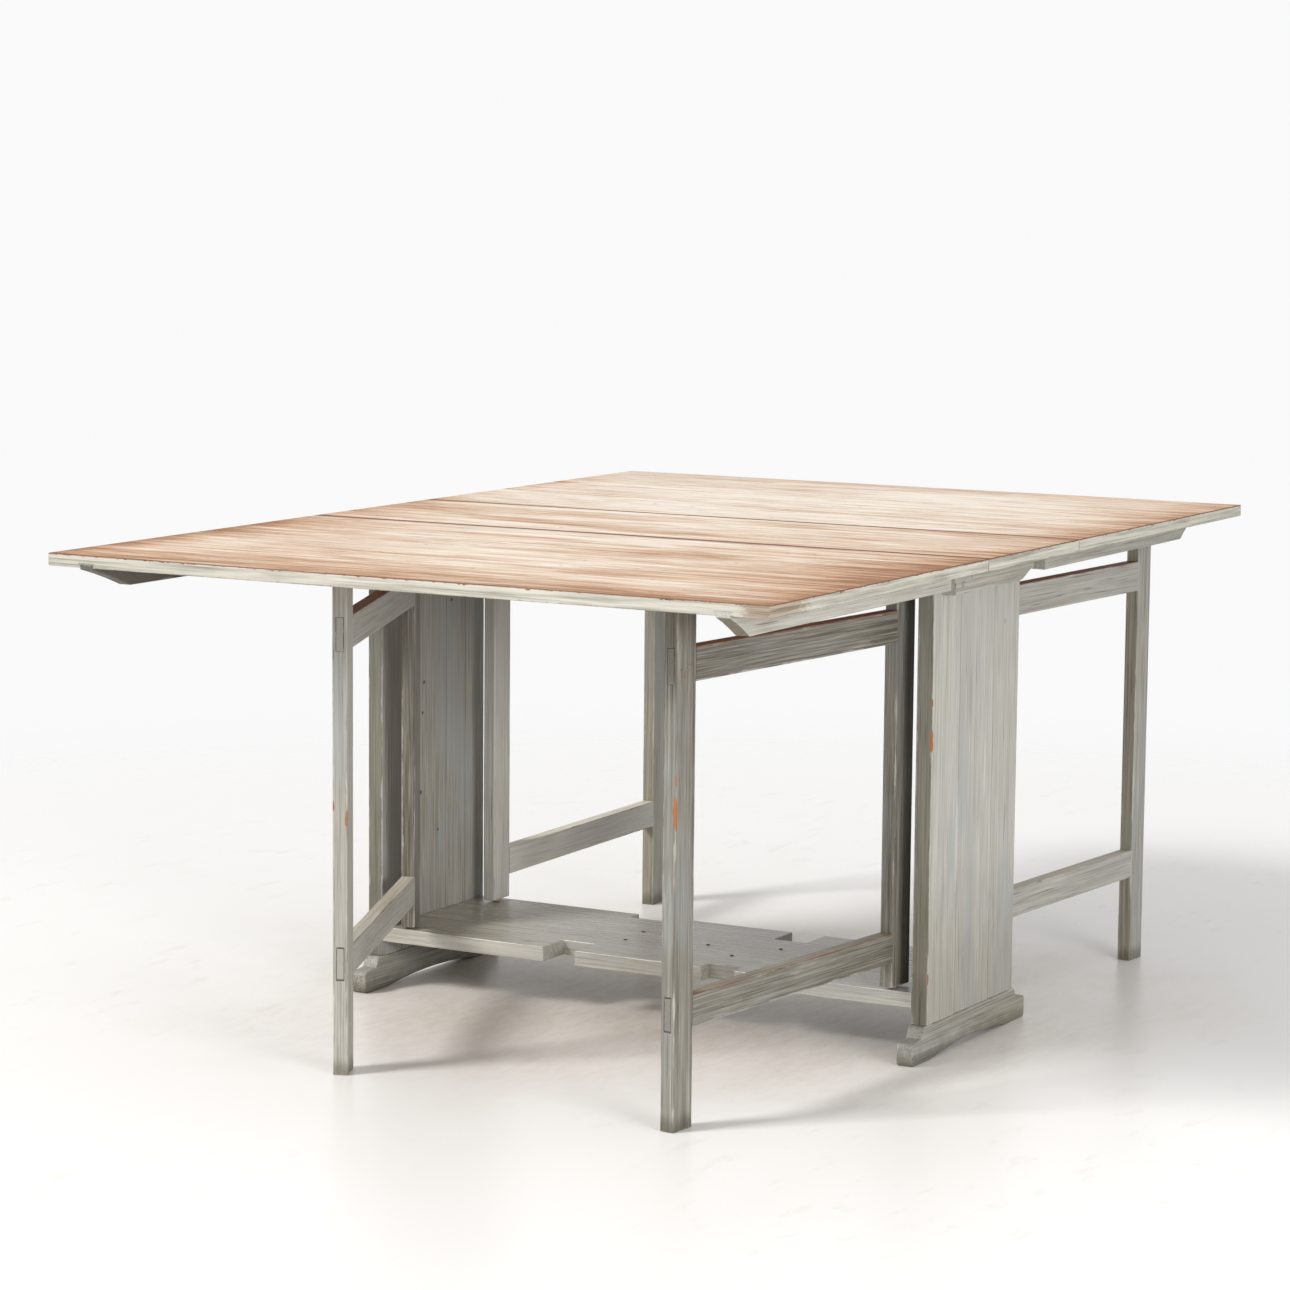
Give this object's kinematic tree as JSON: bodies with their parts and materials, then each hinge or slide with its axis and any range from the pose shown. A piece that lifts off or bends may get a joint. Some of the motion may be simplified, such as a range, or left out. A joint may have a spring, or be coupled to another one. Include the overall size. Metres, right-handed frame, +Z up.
{
  "type": "gateleg table",
  "caption": "Painted pine gateleg table with scrubbed top, boarded ends on stepped feet, low notched shelf and swinging gates that hold up wide drop leaves.",
  "frame": {"origin": "on the floor under the middle of the top", "axes": "+X along the hinge lines towards the right end, +Y across the table towards the far leaf, +Z up"},
  "size_m": [1.16, 1.6876, 0.75],
  "materials": {
    "scrubbed_pine": "scrubbed bare pine top, pale in the middle and brown towards the rims, painted edges",
    "painted_pine": "dry-brushed matt grey paint, worn at the arrises",
    "bare_wood": "unpainted pine",
    "iron": "dark wrought iron"
  },
  "bodies": {
    "frame": {"top_centre_board": "scrubbed_pine", "end_panel_left": "painted_pine", "end_panel_right": "painted_pine", "foot_left": "painted_pine", "foot_right": "painted_pine", "bearer_left": "painted_pine", "bearer_right": "painted_pine", "pivot_cleat_left": "painted_pine", "pivot_cleat_right": "painted_pine", "shelf": "painted_pine", "hinge_near_left_frame_plate": "iron", "hinge_near_left_pin": "iron", "hinge_near_right_frame_plate": "iron", "hinge_near_right_pin": "iron", "hinge_far_left_frame_plate": "iron", "hinge_far_left_pin": "iron", "hinge_far_right_frame_plate": "iron", "hinge_far_right_pin": "iron"},
    "leaf_near": {"leaf_near": "scrubbed_pine", "leaf_batten_near_left": "painted_pine", "leaf_batten_near_right": "painted_pine", "hinge_near_left_leaf_plate": "iron", "hinge_near_right_leaf_plate": "iron"},
    "leaf_far": {"leaf_far": "scrubbed_pine", "leaf_batten_far_left": "painted_pine", "leaf_batten_far_right": "painted_pine", "hinge_far_left_leaf_plate": "iron", "hinge_far_right_leaf_plate": "iron"},
    "gate_near_left": {"gate_near_left_leg": "painted_pine", "gate_near_left_stile": "painted_pine", "gate_near_left_top_rail": "painted_pine", "gate_near_left_bottom_rail": "painted_pine", "gate_near_left_lower_pin": "bare_wood", "gate_near_left_upper_pin": "bare_wood"},
    "gate_near_right": {"gate_near_right_leg": "painted_pine", "gate_near_right_stile": "painted_pine", "gate_near_right_top_rail": "painted_pine", "gate_near_right_bottom_rail": "painted_pine", "gate_near_right_lower_pin": "bare_wood", "gate_near_right_upper_pin": "bare_wood"},
    "gate_far_left": {"gate_far_left_leg": "painted_pine", "gate_far_left_stile": "painted_pine", "gate_far_left_top_rail": "painted_pine", "gate_far_left_bottom_rail": "painted_pine", "gate_far_left_lower_pin": "bare_wood", "gate_far_left_upper_pin": "bare_wood"},
    "gate_far_right": {"gate_far_right_leg": "painted_pine", "gate_far_right_stile": "painted_pine", "gate_far_right_top_rail": "painted_pine", "gate_far_right_bottom_rail": "painted_pine", "gate_far_right_lower_pin": "bare_wood", "gate_far_right_upper_pin": "bare_wood"}
  },
  "joints": [
    {"name": "leaf_near_lift", "type": "hinge", "parent": "frame", "child": "leaf_near", "pos_m": [0, -0.16425, 0.7277], "axis": [-1, 0, 0], "range_deg": [0, 2.2]},
    {"name": "leaf_far_lift", "type": "hinge", "parent": "frame", "child": "leaf_far", "pos_m": [0, 0.16425, 0.7277], "axis": [1, 0, 0], "range_deg": [0, 2.2]},
    {"name": "gate_near_left_swing", "type": "hinge", "parent": "frame", "child": "gate_near_left", "pos_m": [-0.424, -0.131, 0], "axis": [0, 0, 1], "range_deg": [-29.2, 66]},
    {"name": "gate_near_right_swing", "type": "hinge", "parent": "frame", "child": "gate_near_right", "pos_m": [0.424, -0.131, 0], "axis": [0, 0, -1], "range_deg": [-12.3, 86.7]},
    {"name": "gate_far_left_swing", "type": "hinge", "parent": "frame", "child": "gate_far_left", "pos_m": [-0.424, 0.131, 0], "axis": [0, 0, -1], "range_deg": [-4.4, 94.6]},
    {"name": "gate_far_right_swing", "type": "hinge", "parent": "frame", "child": "gate_far_right", "pos_m": [0.424, 0.131, 0], "axis": [0, 0, 1], "range_deg": [-2.5, 92.7]}
  ]
}
